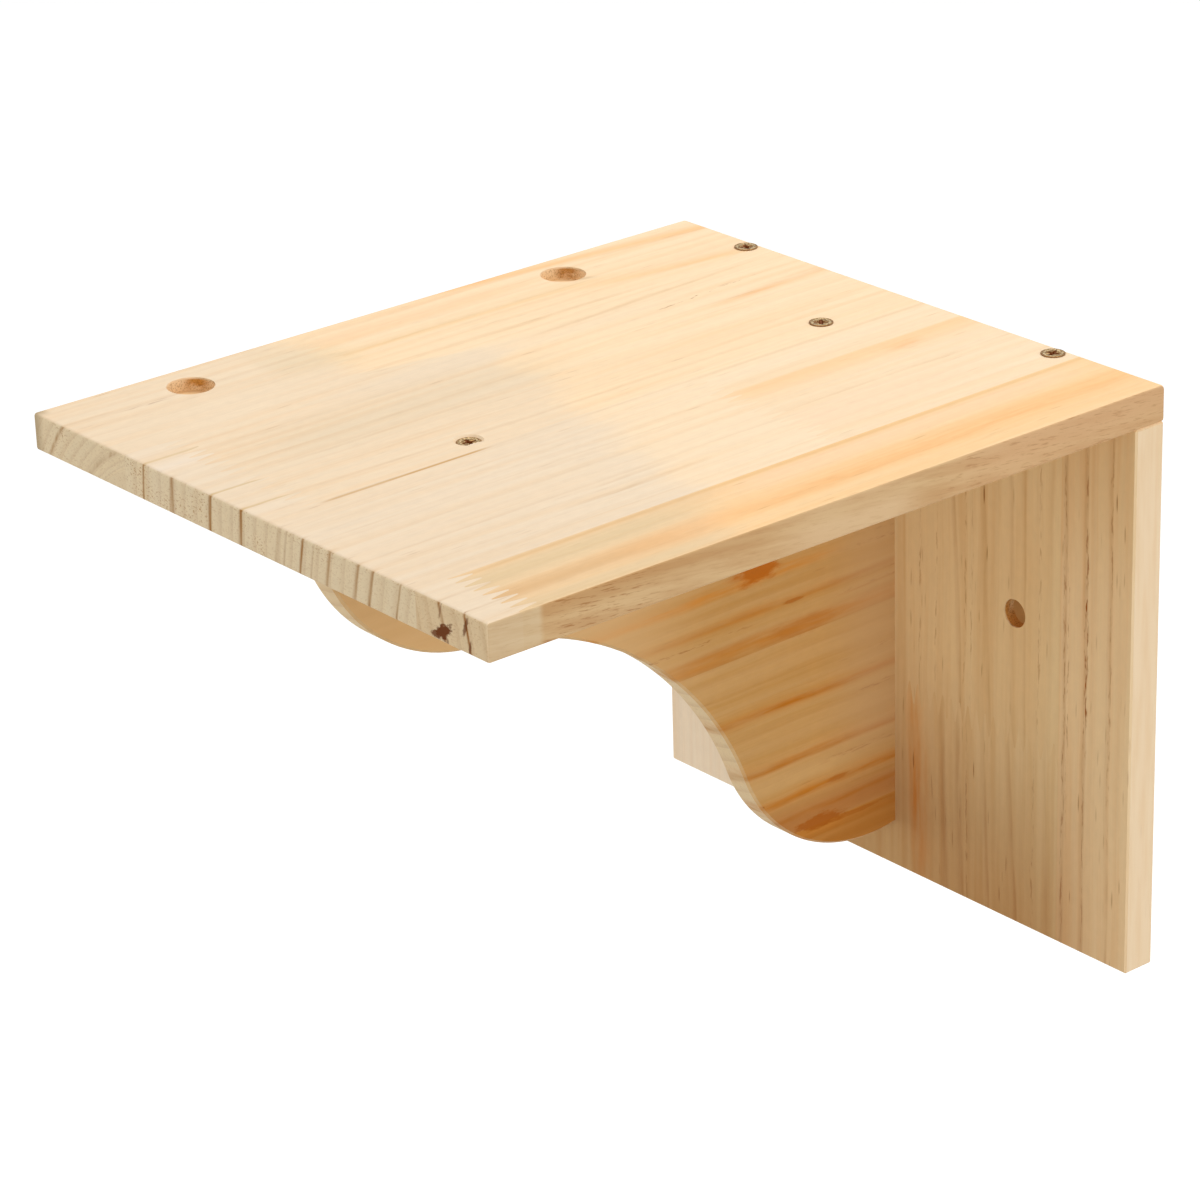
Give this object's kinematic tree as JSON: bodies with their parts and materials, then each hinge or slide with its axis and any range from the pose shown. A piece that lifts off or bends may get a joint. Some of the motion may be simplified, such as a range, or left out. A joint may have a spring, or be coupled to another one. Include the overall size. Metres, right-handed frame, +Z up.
{
  "type": "cat wall bridge platform",
  "caption": "Wall-hung pine platform for the end of a hanging cat bridge: shelf board on a back board and a scrolled bracket, glued from finger-jointed staves and screwed together.",
  "frame": {"origin": "on the wall face of the back board, midway between the two wall screw holes", "axes": "+X to the right along the wall, +Y into the wall, +Z up; the shelf reaches out towards -Y"},
  "size_m": [0.22, 0.262, 0.1974],
  "materials": {
    "pine_pale": "sanded",
    "pine_warm": "sanded",
    "pine_orange": "sanded",
    "bronzed_steel": "bronze plating"
  },
  "bodies": {
    "root": {"shelf_left_stave_rear": "pine_warm", "shelf_left_stave_front": "pine_pale", "shelf_centre_left_stave_rear": "pine_pale", "shelf_centre_left_stave_front": "pine_warm", "shelf_centre_right_stave_rear": "pine_warm", "shelf_centre_right_stave_front": "pine_pale", "shelf_right_stave_rear": "pine_orange", "shelf_right_stave_front": "pine_pale", "back_left_stave": "pine_pale", "back_centre_left_stave": "pine_pale", "back_centre_right_stave_upper": "pine_warm", "back_centre_right_stave_lower": "pine_warm", "back_right_stave": "pine_orange", "bracket_top_stave": "pine_warm", "bracket_upper_stave": "pine_warm", "bracket_lower_stave": "pine_warm", "bracket_tip_stave": "pine_orange", "shelf_to_back_screws": "bronzed_steel", "shelf_to_bracket_screws": "bronzed_steel", "back_to_bracket_screws": "bronzed_steel"}
  },
  "joints": []
}
